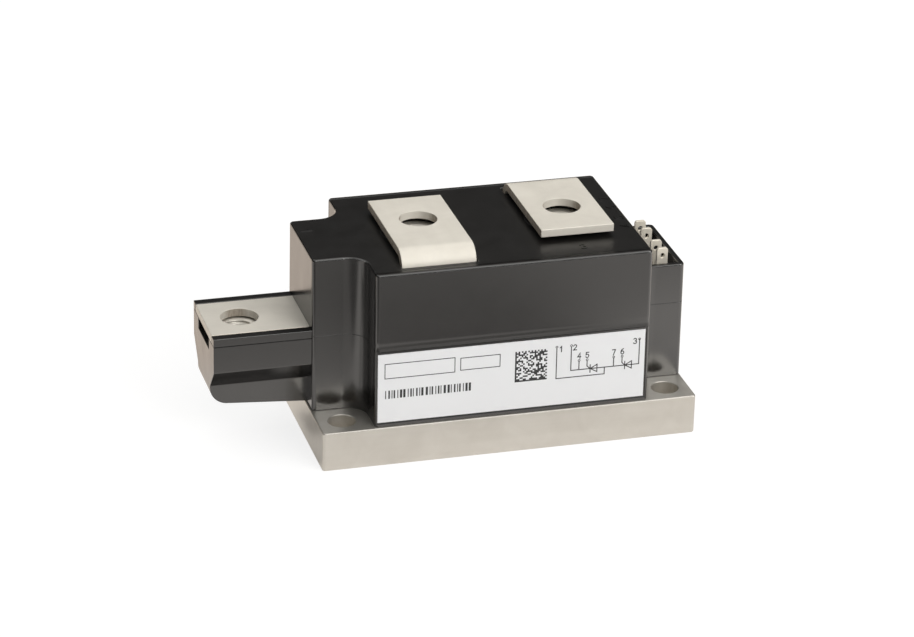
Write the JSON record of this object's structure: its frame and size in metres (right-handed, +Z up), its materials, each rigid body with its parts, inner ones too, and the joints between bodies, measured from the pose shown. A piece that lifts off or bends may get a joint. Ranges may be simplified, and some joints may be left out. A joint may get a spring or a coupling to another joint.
{
  "type": "thyristor module",
  "caption": "Flat-based dual thyristor power module with a black housing, a low screw terminal on a tongue, bent top terminal plates and a tray of slim gate tabs.",
  "frame": {"origin": "on the underside of the base plate, in the middle of its four mounting holes", "axes": "+X along the module from the low terminal to the gate tabs, +Y from the label side to the back, +Z up from the base plate"},
  "size_m": [0.115, 0.05, 0.0514],
  "materials": {
    "nickel_plate": "satin nickel plating on copper, fine brushing",
    "housing_plastic": "black moulded plastic, smooth with a soft sheen",
    "label_film": "white printed film",
    "terminal_nickel": "satin nickel plating on copper",
    "nut_steel": "zinc-plated steel",
    "tab_tin": "tinned brass",
    "lead_white": "white wire insulation",
    "lead_red": "red wire insulation",
    "insulator_ceramic": "fine-grained white ceramic",
    "molybdenum": "lapped molybdenum",
    "silicon": "polished silicon with a bevelled edge",
    "contact_copper": "gold-coloured contact pin",
    "spring_steel": "bare spring steel",
    "cap_plastic": "pale heat-proof plastic",
    "clamp_steel": "zinc-plated steel",
    "screw_steel": "blackened steel",
    "sleeve_plastic": "pale insulating tube"
  },
  "bodies": {
    "root": {"base_plate": "nickel_plate", "housing_frame": "housing_plastic", "housing_cover": "housing_plastic", "label": "label_film", "midpoint_bar": "terminal_nickel", "cathode_bar": "terminal_nickel", "anode_bar": "terminal_nickel", "low_terminal_nut": "nut_steel", "cathode_terminal_nut": "nut_steel", "anode_terminal_nut": "nut_steel", "gate_tab_4": "tab_tin", "cathode_tab_5": "tab_tin", "cathode_tab_6": "tab_tin", "gate_tab_7": "tab_tin", "gate_lead_4": "lead_white", "cathode_lead_5": "lead_red", "cathode_lead_6": "lead_red", "gate_lead_7": "lead_white", "ceramic_insulator_a": "insulator_ceramic", "ceramic_insulator_b": "insulator_ceramic", "anode_disc_a": "molybdenum", "anode_disc_b": "molybdenum", "silicon_pellet_a": "silicon", "silicon_pellet_b": "silicon", "cathode_disc_a": "molybdenum", "cathode_disc_b": "molybdenum", "gate_pin_a": "contact_copper", "gate_pin_b": "contact_copper", "gate_spring_a": "spring_steel", "gate_spring_b": "spring_steel", "centring_cap_a": "cap_plastic", "centring_cap_b": "cap_plastic", "pressure_plate_a": "clamp_steel", "pressure_plate_b": "clamp_steel", "disc_springs_a": "spring_steel", "disc_springs_b": "spring_steel", "clamp_bridge_a": "clamp_steel", "clamp_bridge_b": "clamp_steel", "clamp_screws": "screw_steel", "screw_sleeves": "sleeve_plastic"}
  },
  "joints": []
}
